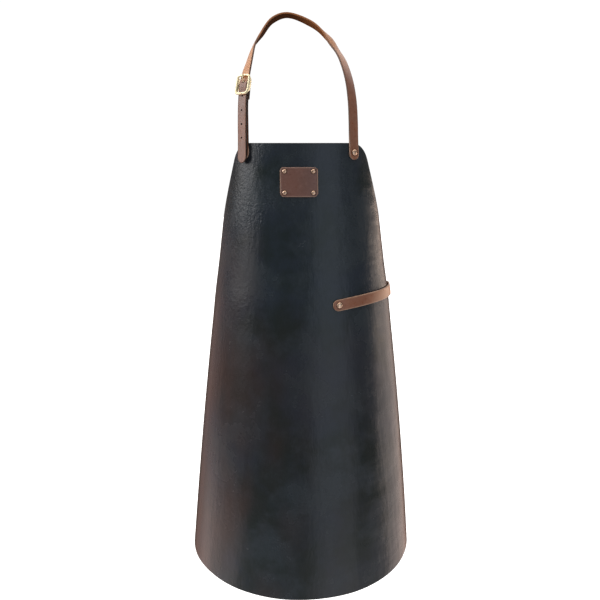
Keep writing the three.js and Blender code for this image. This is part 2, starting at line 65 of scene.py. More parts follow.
# Cut outline: half widths run round the outside, drops run down from the top edge
TOP_EDGE_HALF = 92
BIB_CORNER_RADIUS = 48
ARMHOLE_SLOPE = 0.4
ARMHOLE_REACH = 80
ARMHOLE_PULL = (232, 228)
WAIST_TOP = (303, 252)
WAIST_CORNER = (317, 257)
WAIST_SIDE = (317, 274)
HEM_HALF = 345
HEM_CORNER_RADIUS = 24
BODY_COLUMNS = 150
BIB_CORNER_POINTS = 20
ARMHOLE_POINTS = 36
WAIST_POINTS = 10
SIDE_POINTS = 70
HEM_POINTS = 14

# Soft upright folds of the hide: the drops over which they begin, how far they lean, the level where the
# towel strap keeps the hide flat and its reach, then each fold's share, width, slant and phase
FOLD_DEPTH = 1.6
FOLD_START = (110, 230)
FOLD_LEAN = 0.18
CALM_LEVEL = 277
CALM_REACH = 34
FOLDS = (
    (1, 26, 0, 0.7),
    (0.7, 15.5, 1 / 210, 2.1),
    (0.5, 47, -1 / 130, 0),
)

# Straps
STRAP_WIDTH = 20
NECK_WALL = 3
BUCKLE_WALL = 2
TOWEL_WALL = 3
SEAT_GAP = 0.3
STRAP_COLUMNS = 10
STRAP_STEP = 2
BUCKLE_STRAP_STEP = 0.7

# Rounded cut edges of all leather, and the rows that a round or a blunt strap end begins with
CUT_EDGE = 0.8
CUT_EDGE_STEPS = 6
ROUND_END = (0, 4, 9, 15, 22, 30, 39, 48, 57, 66, 75, 84, 90)
ROUND_END_TIP = 0.06
BLUNT_END = (0, 0.2, 0.5, CUT_EDGE)

# Straps curl in at their edges. The neck strap runs flat at its ends and in the buckle, and curls in most
# where it twists, between two rows of its free run
STRAP_CUP = 0.5
CUP_RUN = 40
BUCKLE_FLAT = 18
TWIST_CUP = 7
TWIST_LIFT = 3.8
TWIST_REACH = 24
TWIST_ROWS = (4, 5)

# Ends of the neck strap and the buckle strap on the bib
RIGHT_ARC = 97
RIGHT_END_DROP = 29
RIGHT_RIVET_DROP = 17
LEFT_ARC = -104
LEFT_END_DROP = 35
LEFT_STRAP_DROP = 28
LEFT_RIVET_DROP = 15
END_RUN = (12, -12)
TIP_ROOM = 3.4

# Free run of the neck strap: x, y, z, then the outer face's turn to the right and lean upwards
NECK_RUN = (
    (92, -50.5, 36, 37, 9),
    (90, -44, 71.5, 40, 10),
    (84.5, -36, 106.5, 46, 15),
    (74, -19, 141, 52, 27),
    (63, -1.5, 162.5, 59, 35),
    (43.5, 22, 189.5, 126, 57),
    (19, 38, 210.5, 142, 62),
    (-25, 48, 227, 180, 75),
    (-51, 43, 217.5, 208, 63),
    (-69.5, 25, 192.5, 238, 42),
    (-82.5, -4, 168, 273, 34),
    (-90, -28, 137.5, 301, 22),
    (-95.2, -35.2, 115, 316, 16),
    (-98.5, -38.8, 98, 318.5, 16),
    (-100.4, -42.2, 81, 319, 15.5),
    (-101.6, -45.6, 63, 320, 13),
    (-102, -52, 28, 321, 10),
)
BUCKLE_ROW = 13

# Holes: rises are up from the buckle's bar, and a peg that cuts one is so many times the leather long
HOLE_RISES = (-19.5, -43.5, -67.5, -91.5)
HOLE_RADIUS = 1.75
PRONG_HOLE_RISE = 4.4
PRONG_HOLE_RADIUS = 2.1
PRONG_SLOT_RADIUS = 1.7
PEG_LENGTH = 4

# Towel strap: arc and drop on the body, gap between leather and strap
TOWEL_RUN = (
    (55, 278.5, 0.4),
    (66, 277, 0.4),
    (84, 275, 0.6),
    (125, 271.5, 1.4),
    (172, 270, 1.9),
    (214, 270.5, 1.8),
    (232, 271.5, 2.7),
    (247, 273, 5.6),
    (259, 274.5, 7.8),
    (270, 275.5, 4.6),
    (280, 276.5, 0.8),
    (289, 277.5, 0.4),
    (301, 279, 0.4),
)
TOWEL_RIVET_ROWS = (1, 11)

# Buckle
FRAME_HALF_WIDTH = 14.3
FRAME_HALF_HEIGHT = 15.8
FRAME_WIRE = 2
FRAME_ARCH = 0.8
FRAME_SQUARENESS = 6
FRAME_OUTLINE_POINTS = 144
FRAME_ROWS = 120
FRAME_LEG_DEPTH = 4
FRAME_LEG_SHARE = 0.6
BAR_RADIUS = 1.1
BAR_DEPTH = 7.7
BAR_LEG_INSET = 1.1
BAR_FOOT = 0.3
BAR_BEND = 2.4
BAR_BEND_MIDDLE = 0.7
BAR_STEPS = 8
WIRE_SEGMENTS = 14
OFF_AXIS = (0.31, 0.52, 0.79)
METAL_GAP = 0.3
PRONG_RADIUS = 0.95
PRONG_LEAVE = math.radians(27)
PRONG_BEND = (6, 2.4)
PRONG_OVERHANG = 1
EYE_ROWS = 32
PIN_ROWS = 24

# The buckle strap's fold round the bar: rises are up from the bar, along the neck strap. The turn and the
# climb also have an offset, from the front leg and from the bar.
FOLD_STRAP_GAP = 1.6
FOLD_LEG_GAP = 0.45
FOLD_BIB_RUN = 25
FOLD_FRONT_RISES = (-32, -19)
FOLD_TURN = (-13, 0.3)
FOLD_CLIMB = (-7, 1.5)
FOLD_WRAP = (100, 55, 10, -35, -80)
FOLD_BACK_RISES = (-5, -13)
FOLD_RIVET_RISE = -20
FOLD_END_RISE = -24.5
FOLD_STEPS = 40

# Label patch
LABEL_ARC = -3.5
LABEL_DROP = 66
LABEL_WIDTH = 65
LABEL_HEIGHT = 50
LABEL_WALL = 2.4
LABEL_CORNER = 7
LABEL_CORNER_POINTS = 9
LABEL_ROWS = 20
LABEL_COLUMNS = 30
LABEL_RIVET_SPREAD = (24.5, 18)

# Rivets: head radius and height, post radius, cap radius and height
LARGE_RIVET = (5.5, 2.3, 1.6, 4.6, 0.8)
SMALL_RIVET = (3.8, 1.7, 1.2, 3.2, 0.7)
FLAT_RIVET = (2.6, 0.9, 1.2, 2.6, 0.8)

# On every rivet: the ring under the head by its width and its levels in the gap, the shares that shape the
# cap and the dome, and the dome's last angle
RIVET_GAP = 0.3
RIVET_RING = 0.7
RING_LEVELS = (0.7, 0.2)
CAP_GAP = 0.6
CAP_TOP = 0.8
CAP_SIDE = 0.6
DOME_TOP = 84
DOME_POINTS = 12
DOME_SHARE = 0.96
DOME_RIM = 0.06
RIVET_SEGMENTS = 40
HOLE_SEGMENTS = 20

# Edges that turn by more than these degrees stay sharp
LEATHER_SHARP = 50
HOLE_SHARP = 40
RIVET_SHARP = 45
WIRE_SHARP = 50

# Creased lines: distance from the middle of a strap, inset on the label, half width, and width of the pale
# strip beyond, which is wear and also a painted edge highlight
STRAP_CREASE = 8.7
TOWEL_CREASE = 8.2
LABEL_CREASE_INSET = 1.7
CREASE_HALF = 0.5
CREASE_WEAR_AND_HIGHLIGHT = 0.6

# Stretches of wear and of painted light and shade: where they begin, are full, fade and end, in rows of the
# neck strap's free run or in millimetres along a strap, and how strong they are
# The neck strap's first tan stretch is pull-up at its twist; the second is painted light on its run above
# the buckle
NECK_BENDS_AND_LIGHT = (((2, 3.6, 5, 5.6), 0.5), ((9, 10.5, 12.2, 12.9), 0.85))
# Over this stretch the flesh side, facing down over the neck, is darkened with painted shade
NECK_SHADED_FLESH = (5, 7.5, 9.5, 10)
NECK_TANNED = (3.8, 5, 9.5, 10)
TOWEL_BENDS = (((60, 165, 260, 275), 0.8),)
# Near these ends the strap edges are painted pale as a highlight round the strap ends
NECK_END_HIGHLIGHT = (-2, -1, 24, 50)
BUCKLE_END_HIGHLIGHT = (-2, -1, 12, 24)
# From this far above the buckle to its end, the neck strap's edge is painted dark as shade beside the
# buckle strap
EDGE_SHADE_RUN = 20
PAST_END = (900, 901)

# Camera of the photograph: distance in front of the bib's top edge, then in pixels the picture's width, the
# focal length, and how far the picture's middle lies below and left of the middle of that edge
CAMERA_DISTANCE = 1280
PICTURE_WIDTH = 600
FOCAL_LENGTH = 683
MIDDLE_BELOW = 157.2
MIDDLE_LEFT = 0.6
CAMERA_PITCH = math.atan(MIDDLE_BELOW / FOCAL_LENGTH)
CAMERA_YAW = math.atan(MIDDLE_LEFT / FOCAL_LENGTH)
SENSOR = 36

# Soft studio lights round the apron: azimuths from straight behind it towards the right, elevations,
# the width of the soft border, all in degrees, and the colour
SOFT_LIGHTS = (
    (-75, 75, 20, 52, 12, (1.3, 1.3, 1.3)),
    (33, 86, -15, 0.5, 2, (3.05, 2.65, 2.25)),
    (-118, -78, 10, 40, 10, (4.3, 4.5, 4.6)),
    (-120, -92, -8, 9, 8, (0.55, 0.6, 0.64)),
    (-86, -46, -25, -4, 10, (1.2, 0.86, 0.76)),
    (132, 168, -12, 26, 14, (0.62, 0.74, 0.88)),
    (-181, 181, 50, 91, 12, (1.3, 1.2, 1.1)),
)
ROOM_LIGHT = (0.22, 0.22, 0.22)
BACKDROP = (1.04, 1.04, 1.04, 1)

# The same lights on the floor: how many metres right of the apron's middle the azimuths are taken from, the
# azimuths, the width of the soft border, the distances over which the light fades, and the colour
FLOOR_LIGHTS = (
    (0.17, 33, 88, 4, 9, 12, (1.4, 1.26, 1.18)),
    (-0.17, -124, -62, 14, 0.8, 2.2, (1.15, 1.04, 1.03)),
    (-0.17, -84, -36, 14, 9, 12, (0.52, 0.32, 0.28)),
    (0, 88, 181, 8, 0.5, 2.6, (0.42, 0.42, 0.42)),
    (0, -181, -110, 14, 0.5, 2.6, (0.42, 0.42, 0.42)),
    (0.05, 128, 168, 8, 9, 12, (0.5, 0.53, 0.57)),
)
FLOOR_CENTRE = -0.1
FLOOR_GLOW = (0.6, 0.6, 0.6, 1)
FLOOR_HALF = 9
FLOOR_DROP = 0.3


def lerp(a, b, share):
    return a + (b - a) * share


def smooth(low, high, value):
    share = np.clip((value - low) / (high - low), 0, 1)
    return share * share * (3 - 2 * share)


def unit(v):
    return v / np.linalg.norm(v, axis=-1, keepdims=True)


# Body surface

def half_width_at(drop):
    share = drop / BODY_LENGTH
    return lerp(TOP_HALF_WIDTH, HEM_HALF_WIDTH, share) + 4 * SIDE_BOW * share * (1 - share)


def depth_at(drop):
    return half_width_at(drop) * lerp(TOP_ROUNDNESS, HEM_ROUNDNESS, drop / BODY_LENGTH)


def seats(arc, drop, lift):
    """Points on the body at the arcs along one drop, lifted off its outside, and its facings."""
    arc = np.asarray(arc, float)
    lift = np.broadcast_to(np.asarray(lift, float), arc.shape)
    half, depth = half_width_at(drop), depth_at(drop)
    angles = np.linspace(0, BODY_TURN, BODY_TURN_STEPS + 1)
    middles = (angles[1:] + angles[:-1]) / 2
    runs = np.hypot(half * np.cos(middles), depth * np.sin(middles)) * (angles[1] - angles[0])
    angle = np.sign(arc) * np.interp(np.abs(arc), np.concatenate([[0], np.cumsum(runs)]), angles)
    sin, cos = np.sin(angle), np.cos(angle)
    widening = half_width_at(drop + 0.5) - half_width_at(drop - 0.5)
    deepening = depth_at(drop + 0.5) - depth_at(drop - 0.5)
    downhill = np.stack([widening * sin, -deepening * cos, -np.ones_like(sin)], -1)
    sideways = np.stack([half * cos, depth * sin, np.zeros_like(sin)], -1)
    facing = unit(np.cross(downhill, sideways))
    share = drop / BODY_LENGTH
    middle = 4 * HIP_SHIFT * share * (1 - share)
    point = np.stack([middle + half * sin, -depth * cos, np.full_like(sin, -drop)], -1)
    return point + facing * lift[..., None], facing


def seat(arc, drop, lift):
    point, facing = seats([arc], drop, lift)
    return point[0], facing[0]


body_low, body_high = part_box("apron_body")
BIB = np.array([0, body_low.y / MM + depth_at(BODY_LENGTH), body_high.z / MM])


def to_frame(points):
    return (np.asarray(points, float) + BIB) * MM


# Mesh building

def mesh_object(name, points, faces, materials, face_materials=None, uvs=None):
    mesh = bpy.data.meshes.new(name)
    mesh.from_pydata([tuple(p) for p in points], [], faces)
    for material in materials:
        mesh.materials.append(material)
    if face_materials is not None:
        mesh.polygons.foreach_set("material_index", face_materials)
    if uvs is not None:
        layer = mesh.uv_layers.new(name="UVMap")
        corners = np.empty(len(mesh.loops), dtype=np.int32)
        mesh.loops.foreach_get("vertex_index", corners)
        layer.data.foreach_set("uv", np.asarray(uvs, float)[corners].ravel())
    mesh.update()
    mesh.shade_smooth()
    obj = bpy.data.objects.new(name, mesh)
    bpy.context.scene.collection.objects.link(obj)
    return obj


def sharpen(obj, degrees):
    obj.data.set_sharp_from_angle(angle=math.radians(degrees))
    return obj


def leather(name, along, halves, walls, place, columns, materials):
    """A closed leather piece: a rounded section at each row. place(row, across, out) gives points.

    The first material is the grain side, the second the flesh side, the third the cut edge."""
    turn = np.radians(np.linspace(90, -90, CUT_EDGE_STEPS + 1)[1:-1])
    points, uvs = [], []
    for row, (half, wall) in enumerate(zip(halves, walls)):
        edge = min(CUT_EDGE, half * 0.9, wall / 2)
        flat = np.linspace(-1, 1, columns + 1) * (half - edge)
        arc_u = half - edge + edge * np.cos(turn)
        arc_w = (wall / 2 - edge) * np.sign(np.sin(turn)) + edge * np.sin(turn)
        across = np.concatenate([flat, arc_u, flat[::-1], -arc_u[::-1]])
        out = np.concatenate([
            np.full(columns + 1, wall / 2), arc_w, np.full(columns + 1, -wall / 2), arc_w[::-1],
        ])
        points.append(place(row, across, out))
        uvs.append(np.stack([np.full_like(across, along[row]), across], -1) * MM)
    ring = len(points[0])
    rows = len(points)
    side = columns + 1 + len(turn)
    kinds = [0] * columns + [2] * (len(turn) + 1) + [1] * columns + [2] * (len(turn) + 1)
    faces, face_kinds = [], []
    for row in range(rows - 1):
        for k in range(ring):
            a, b = row * ring + k, row * ring + (k + 1) % ring
            faces.append((a, a + ring, b + ring, b))
            face_kinds.append(kinds[k])
    for row, flip in ((0, False), (rows - 1, True)):
        start = row * ring
        for k in range(columns):
            quad = (start + k, start + k + 1, start + side + columns - k - 1, start + side + columns - k)
            faces.append(quad[::-1] if flip else quad)
            face_kinds.append(2)
        for first, last in ((columns, side), (side + columns, ring)):
            fan = [start + k % ring for k in range(first, last + 1)]
            faces.append(tuple(fan[::-1] if flip else fan))
            face_kinds.append(2)
    flat_points = to_frame(np.concatenate(points))
    obj = mesh_object(name, flat_points, faces, materials, face_kinds, np.concatenate(uvs))
    return sharpen(obj, LEATHER_SHARP)


def edge_walls(along, wall):
    """Wall at each row, rounded over towards both ends of a piece."""
    reach = np.minimum(np.minimum(along - along[0], along[-1] - along), CUT_EDGE)
    return wall - 2 * CUT_EDGE + 2 * np.sqrt(CUT_EDGE**2 - (CUT_EDGE - reach) ** 2)


# Body sheet

def bezier(t, *points):
    points = [np.asarray(p, float) for p in points]
    while len(points) > 1:
        points = [np.outer(1 - t, a) + np.outer(t, b) if a.ndim == 1 else
                  a * (1 - t)[:, None] + b * t[:, None] for a, b in zip(points, points[1:])]
    return points[0]


def cut_outline():
    """(half width, drop) down the right edge of the flat leather."""
    corner_end = math.atan(ARMHOLE_SLOPE)
    angles = np.linspace(math.pi / 2, corner_end, BIB_CORNER_POINTS)
    corner = np.stack([
        TOP_EDGE_HALF + BIB_CORNER_RADIUS * np.cos(angles),
        BIB_CORNER_RADIUS * (1 - np.sin(angles)),
    ], -1)
    reach = corner[-1] + np.array([ARMHOLE_SLOPE, 1]) * ARMHOLE_REACH
    side_end = (HEM_HALF, BODY_LENGTH - HEM_CORNER_RADIUS)
    hem_corner = (HEM_HALF, BODY_LENGTH)
    hem_end = (HEM_HALF - HEM_CORNER_RADIUS, BODY_LENGTH)
    stretches = (
        (ARMHOLE_POINTS, corner[-1], reach, ARMHOLE_PULL, WAIST_TOP),
        (WAIST_POINTS, WAIST_TOP, WAIST_CORNER, WAIST_SIDE),
        (SIDE_POINTS, WAIST_SIDE, side_end),
        (HEM_POINTS, side_end, hem_corner, hem_end),
    )
    curves = [bezier(np.linspace(0, 1, count), *points)[1:] for count, *points in stretches]
    return np.concatenate([corner, *curves])


def body_wave(arc, drop):
    """How far the hide is drawn in by its soft upright folds, away from what is riveted on it."""
    loose = smooth(*FOLD_START, drop) * (1 - np.exp(-(((drop - CALM_LEVEL) / CALM_REACH) ** 2)))
    lean = arc * (1 - FOLD_LEAN * drop / BODY_LENGTH)
    wave = sum(share * np.sin(lean / width + drop * slant + phase) for share, width, slant, phase in FOLDS)
    highest = sum(fold[0] for fold in FOLDS)
    return -FOLD_DEPTH * loose * (1 + wave / highest) / 2


def flat_area(outline):
    """Area of the hide laid flat, in square metres."""
    halves, drops = outline[:, 0], outline[:, 1]
    slope = math.hypot(1, (depth_at(BODY_LENGTH) - depth_at(0)) / BODY_LENGTH)
    return float(np.sum((halves[1:] + halves[:-1]) * np.diff(drops)) * slope) * MM**2


def make_body(materials):
    outline = cut_outline()
    halves, drops = outline[:, 0], outline[:, 1]

    def place(row, across, out):
        lift = out - BODY_WALL / 2 + body_wave(across, drops[row])
        return seats(across, drops[row], lift)[0]

    walls = edge_walls(drops, BODY_WALL)
    body = leather("apron_hide", drops, halves, walls, place, BODY_COLUMNS, materials)
    area = flat_area(outline)
    return body


# Strap routes

def catmull(points, steps):
    """A centripetal curve through the points, with the same number of steps in each stretch."""
    points = np.asarray(points, float)
    padded = np.vstack([2 * points[0] - points[1], points, 2 * points[-1] - points[-2]])
    curve = []
    for a, b, c, d in zip(padded, padded[1:], padded[2:], padded[3:]):
        ab, bc, cd = (max(np.linalg.norm(q - p), 1e-4) ** 0.5 for p, q in ((a, b), (b, c), (c, d)))
        start = bc * ((b - a) / ab - (c - a) / (ab + bc) + (c - b) / bc)
        end = bc * ((c - b) / bc - (d - b) / (bc + cd) + (d - c) / cd)
        t = np.linspace(0, 1, steps, endpoint=False)[:, None]
        square = 3 * (c - b) - 2 * start - end
        cube = 2 * (b - c) + start + end
        curve.append(b + start * t + square * t**2 + cube * t**3)
    return np.vstack([*curve, points[-1:]])


def running_length(line):
    """Length along a line at each of its points."""
    return np.concatenate([[0], np.cumsum(np.linalg.norm(np.diff(line, axis=0), axis=1))])


class Route:
    """A smooth line through listed rows, with the way that the strap's outer face looks."""

    STEPS = 60

    def __init__(self, rows):
        self.line = catmull([row[0] for row in rows], self.STEPS)
        self.looks = catmull([row[1] for row in rows], self.STEPS)
        self.run = running_length(self.line)
        self.length = self.run[-1]
        self.tangents = unit(np.gradient(self.line, self.run, axis=0))

    def length_to(self, row):
        return self.run[round(self.STEPS * row)]

    def at(self, along):
        """Points, tangents, outward facings and directions across, at lengths along the line."""
        def pick(values):
            return np.stack([np.interp(along, self.run, values[:, k]) for k in range(3)], -1)

        tangent = unit(pick(self.tangents))
        facing = pick(self.looks)
        facing = unit(facing - tangent * np.sum(facing * tangent, -1, keepdims=True))
        return pick(self.line), tangent, facing, np.cross(facing, tangent)


def free_row(x, y, z, turn, lean):
    """A point of a strap's free run, and the way that its outer face looks."""
    turn, lean = math.radians(turn), math.radians(lean)
    level = math.cos(lean)
    look = np.array([math.sin(turn) * level, -math.cos(turn) * level, math.sin(lean)])
    return np.array([x, y, z]), look


tip_lift = 2 * SEAT_GAP + BUCKLE_WALL + TIP_ROOM + NECK_WALL / 2
right_lift = SEAT_GAP + NECK_WALL / 2
neck_route = Route([
    *[seat(RIGHT_ARC, drop, right_lift) for drop in (RIGHT_END_DROP, *END_RUN)],
    *[free_row(*row) for row in NECK_RUN],
    *[seat(LEFT_ARC, drop, tip_lift) for drop in (*END_RUN[::-1], LEFT_END_DROP)],
])
towel_route = Route([seat(arc, drop, gap + TOWEL_WALL / 2) for arc, drop, gap in TOWEL_RUN])


def neck_stretch(*rows):
    """Lengths along the neck strap at rows of its free run."""
    return [neck_route.length_to(row + 1 + len(END_RUN)) for row in rows]


buckle_along, = neck_stretch(BUCKLE_ROW)

frame_lift = NECK_WALL / 2 + METAL_GAP + FRAME_WIRE
bar_lift = frame_lift - BAR_DEPTH
wrap_radius = BAR_RADIUS + METAL_GAP + BUCKLE_WALL / 2
strap_wave = bar_lift + wrap_radius + BUCKLE_WALL / 2 + METAL_GAP + NECK_WALL / 2


def strap_rows(length, step, round_end=True):
    """Lengths along a strap and its half width at each: round ends run in on a half circle."""
    radius = STRAP_WIDTH / 2
    angles = np.radians(ROUND_END)
    start, start_half = radius * (1 - np.cos(angles)), np.maximum(radius * np.sin(angles), ROUND_END_TIP)
    end, end_half = start, start_half
    if not round_end:
        end, end_half = np.array(BLUNT_END), np.full(len(BLUNT_END), radius)
    count = int((length - start[-1] - end[-1]) / step)
    middle = np.linspace(start[-1], length - end[-1], count)[1:-1]
    along = np.concatenate([start, middle, length - end[::-1]])
    return along, np.concatenate([start_half, np.full(len(middle), radius), end_half[::-1]])


def make_strap(name, along, halves, wall, points, across, materials, cup=STRAP_CUP, lift=0):
    """A strap through the points, its width along the directions across.

    The cup curls its edges in and the lift raises its line, each one number or one for each row."""
    tangent = unit(np.gradient(points, axis=0))
    side = unit(across - tangent * np.sum(across * tangent, -1, keepdims=True))
    out = np.cross(tangent, side)
    cups = np.broadcast_to(cup, len(along))
    lifts = np.broadcast_to(lift, len(along))

    def place(row, u, w):
        curl = lifts[row] - cups[row] * (u / (STRAP_WIDTH / 2)) ** 2
        return points[row] + np.outer(u, side[row]) + np.outer(w + curl, out[row])

    return leather(name, along, halves, edge_walls(along, wall), place, STRAP_COLUMNS, materials)


def neck_frames(along):
    """The neck strap's own line: it rides over the buckle's bar and under the frame's two ends."""
    point, tangent, facing, across = neck_route.at(along)
    share = np.clip((buckle_along - along) / (FRAME_HALF_HEIGHT - FRAME_WIRE), -1, 1)
    rise = strap_wave * np.cos(share * math.pi / 2) ** 2
    return point + facing * rise[:, None], tangent, facing, across


def cut_holes(obj, pegs, material):
    """Cuts round holes, whose walls have the material.

    Each peg is a point, a direction, a radius and a length."""
    points, faces = [], []
    segments = HOLE_SEGMENTS
    for point, direction, radius, length in pegs:
        turned = Vector(direction).to_track_quat("Z", "Y").to_matrix()
        first = len(points)
        for end in (-0.5, 0.5):
            for k in range(segments):
                angle = 2 * math.pi * k / segments
                offset = turned @ Vector((radius * math.cos(angle), radius * math.sin(angle), end * length))
                points.append(to_frame(np.asarray(point) + np.array(offset)))
        for k in range(segments):
            a, b = first + k, first + (k + 1) % segments
            faces.append((a, b, b + segments, a + segments))
        faces.append(tuple(range(first + segments - 1, first - 1, -1)))
        faces.append(tuple(range(first + segments, first + 2 * segments)))
    walls = len(obj.data.materials)
    materials = [*obj.data.materials, material]
    cutter = mesh_object(obj.name + "_cutter", points, faces, materials, [walls] * len(faces))
    obj.data.materials.append(material)
    hole = obj.modifiers.new("holes", "BOOLEAN")
    hole.operation = "DIFFERENCE"
    hole.solver = "EXACT"
    hole.object = cutter
    bpy.context.view_layer.update()
    cut = bpy.data.meshes.new_from_object(obj.evaluated_get(bpy.context.evaluated_depsgraph_get()))
    obj.modifiers.clear()
    obj.data = cut
    sharpen(obj, HOLE_SHARP)
    bpy.data.objects.remove(cutter)


def make_neck_strap(materials, shaded_hole_wall):
    along, halves = strap_rows(neck_route.length, STRAP_STEP)
    points, _, _, across = neck_frames(along)
    twist = np.mean(neck_stretch(*TWIST_ROWS))
    twisted = np.exp(-(((along - twist) / TWIST_REACH) ** 2))
    cup = STRAP_CUP + TWIST_CUP * twisted
    cup *= smooth(0, CUP_RUN, np.minimum(along, neck_route.length - along))
    cup *= smooth(BUCKLE_FLAT, CUP_RUN, np.abs(along - buckle_along))
    strap = make_strap("neck_strap_leather", along, halves, NECK_WALL, points, across, materials,
                       cup=cup, lift=TWIST_LIFT * twisted)
    radii = [PRONG_HOLE_RADIUS] + [HOLE_RADIUS] * len(HOLE_RISES)
    rises = np.array([PRONG_HOLE_RISE, *HOLE_RISES])
    hole_points, _, hole_facings, _ = neck_frames(buckle_along - rises)
    pegs = [(p, f, r, PEG_LENGTH * NECK_WALL) for p, f, r in zip(hole_points, hole_facings, radii)]
    cut_holes(strap, pegs, shaded_hole_wall)
    return strap


# Buckle strap: up from the bib behind the neck strap, round the bar and back down

beside = -(NECK_WALL / 2 + FOLD_STRAP_GAP + BUCKLE_WALL / 2)
behind = beside - BUCKLE_WALL - FOLD_LEG_GAP
on_bib = -(NECK_WALL / 2 + TIP_ROOM + BUCKLE_WALL / 2)


def make_buckle_strap(materials, shaded_hole_wall):
    start = buckle_along - neck_route.length + LEFT_END_DROP - LEFT_STRAP_DROP
    wrap = np.radians(FOLD_WRAP)
    rows = [
        (start, on_bib),
        (start + FOLD_BIB_RUN, on_bib),
        (start / 2, (on_bib + beside) / 2),
        *[(rise, beside) for rise in FOLD_FRONT_RISES],
        (FOLD_TURN[0], beside + FOLD_TURN[1]),
        (FOLD_CLIMB[0], bar_lift + FOLD_CLIMB[1]),
        *zip(wrap_radius * np.cos(wrap), bar_lift + wrap_radius * np.sin(wrap)),
        *[(rise, behind) for rise in (*FOLD_BACK_RISES, FOLD_RIVET_RISE, FOLD_END_RISE)],
    ]
    profile = catmull([(rise, off, 0) for rise, off in rows], FOLD_STEPS)
    run = running_length(profile)
    along, halves = strap_rows(run[-1], BUCKLE_STRAP_STEP, round_end=False)
    rise, off = (np.interp(along, run, profile[:, k]) for k in (0, 1))
    points, _, facing, across = neck_route.at(buckle_along - rise)
    strap = make_strap("buckle_strap_leather", along, halves, BUCKLE_WALL,
                       points + facing * off[:, None], -across, materials, cup=0)
    place, _, look, _ = (v[0] for v in neck_route.at(np.array([buckle_along])))
    bar = place + look * bar_lift
    cut_holes(strap, [(bar, look, PRONG_SLOT_RADIUS, PEG_LENGTH * wrap_radius)], shaded_hole_wall)
    return strap


def make_towel_strap(materials):
    along, halves = strap_rows(towel_route.length, STRAP_STEP)
    points, _, _, across = towel_route.at(along)
    return make_strap("towel_strap_leather", along, halves, TOWEL_WALL, points, across, materials)


def make_label(materials):
    angles = np.radians(np.linspace(0, 90, LABEL_CORNER_POINTS))
    corner_drop = LABEL_CORNER * (1 - np.cos(angles))
    corner_in = LABEL_CORNER * (1 - np.sin(angles))
    middle = np.linspace(LABEL_CORNER, LABEL_HEIGHT - LABEL_CORNER, LABEL_ROWS)[1:-1]
    along = np.concatenate([corner_drop, middle, LABEL_HEIGHT - corner_drop[::-1]])
    inset = np.concatenate([corner_in, np.zeros(len(middle)), corner_in[::-1]])

    def place(row, u, w):
        drop = LABEL_DROP - LABEL_HEIGHT / 2 + along[row]
        return seats(LABEL_ARC + u, drop, SEAT_GAP + LABEL_WALL / 2 + w)[0]

    walls = edge_walls(along, LABEL_WALL)
    halves = LABEL_WIDTH / 2 - inset
    return leather("label_leather", along, halves, walls, place, LABEL_COLUMNS, materials)


# Metal pieces

def lathe(name, profile, place, materials, kinds):
    """A turned piece: the profile's (radius, height) rows round the place's z axis, in millimetres."""
    segments = RIVET_SEGMENTS
    turns = np.linspace(0, 2 * math.pi, segments, endpoint=False)
    points, faces, face_kinds = [], [], []
    for radius, height in profile:
        for angle in turns:
            points.append(place @ Vector((radius * math.cos(angle), radius * math.sin(angle), height)))
    for row in range(len(profile) - 1):
        for k in range(segments):
            a, b = row * segments + k, row * segments + (k + 1) % segments
            faces.append((a, b, b + segments, a + segments))
            face_kinds.append(kinds[row])
    faces.append(tuple(range(segments - 1, -1, -1)))
    faces.append(tuple(range(len(points) - segments, len(points))))
    face_kinds += [kinds[0], kinds[-1]]
    obj = mesh_object(name, to_frame(points), faces, materials, face_kinds)
    return sharpen(obj, RIVET_SHARP)


def make_rivet(name, point, facing, size, grip, materials):
    """A rivet with a flat cap and a domed head. The second material is the ring that the head sits on,
    painted dark as shade round the dome.
    """
    head, height, post, cap, cap_height = size
    foot = [
        (cap * CAP_TOP, -grip - cap_height),
        (cap, -grip - cap_height * CAP_SIDE),
        (cap, -grip),
        (post, -grip),
    ]
    low, high = (-RIVET_GAP * level for level in RING_LEVELS)
    ring = [(post, low), (head + RIVET_RING, low), (head + RIVET_RING, high), (head, 0)]
    angles = np.radians(np.linspace(0, DOME_TOP, DOME_POINTS))
    rises = DOME_RIM + (1 - DOME_RIM) * np.sin(angles)
    dome = [*zip(head * np.cos(angles) * DOME_SHARE, height * rises)]
    kinds = [0] * len(foot) + [1] * len(ring) + [0] * (len(dome) - 1)
    turned = Vector(facing).to_track_quat("Z", "Y").to_matrix().to_4x4()
    return lathe(name, [*foot, *ring, *dome], Matrix.Translation(Vector(point)) @ turned, materials, kinds)


def tube(points, radius, closed):
    """Points and faces of a round tube along a line, capped where it is open."""
    segments = WIRE_SEGMENTS
    points = np.asarray(points, float)
    if closed:
        tangents = unit(np.roll(points, -1, 0) - np.roll(points, 1, 0))
    else:
        tangents = unit(np.gradient(points, axis=0))
    normal = np.cross(tangents[0], OFF_AXIS)
    verts, faces = [], []
    turns = np.linspace(0, 2 * math.pi, segments, endpoint=False)
    for point, tangent in zip(points, tangents):
        normal = unit(normal - tangent * np.dot(normal, tangent))
        other = np.cross(tangent, normal)
        verts += [point + radius * (math.cos(t) * normal + math.sin(t) * other) for t in turns]
    rows = len(points)
    twist = 0
    if closed:
        first = verts[:segments]
        last = normal - tangents[0] * np.dot(normal, tangents[0])
        start = points[0] + radius * unit(last)
        twist = int(np.argmin([np.linalg.norm(v - start) for v in first]))
    for row in range(rows if closed else rows - 1):
        ahead = (row + 1) % rows
        shift = twist if row + 1 == rows else 0
        here, there = row * segments, ahead * segments
        for k in range(segments):
            after = (k + 1) % segments
            a, b = there + (after + shift) % segments, there + (k + shift) % segments
            faces.append((here + k, here + after, a, b))
    if not closed:
        faces.append(tuple(range(segments - 1, -1, -1)))
        faces.append(tuple(range((rows - 1) * segments, rows * segments)))
    return verts, faces


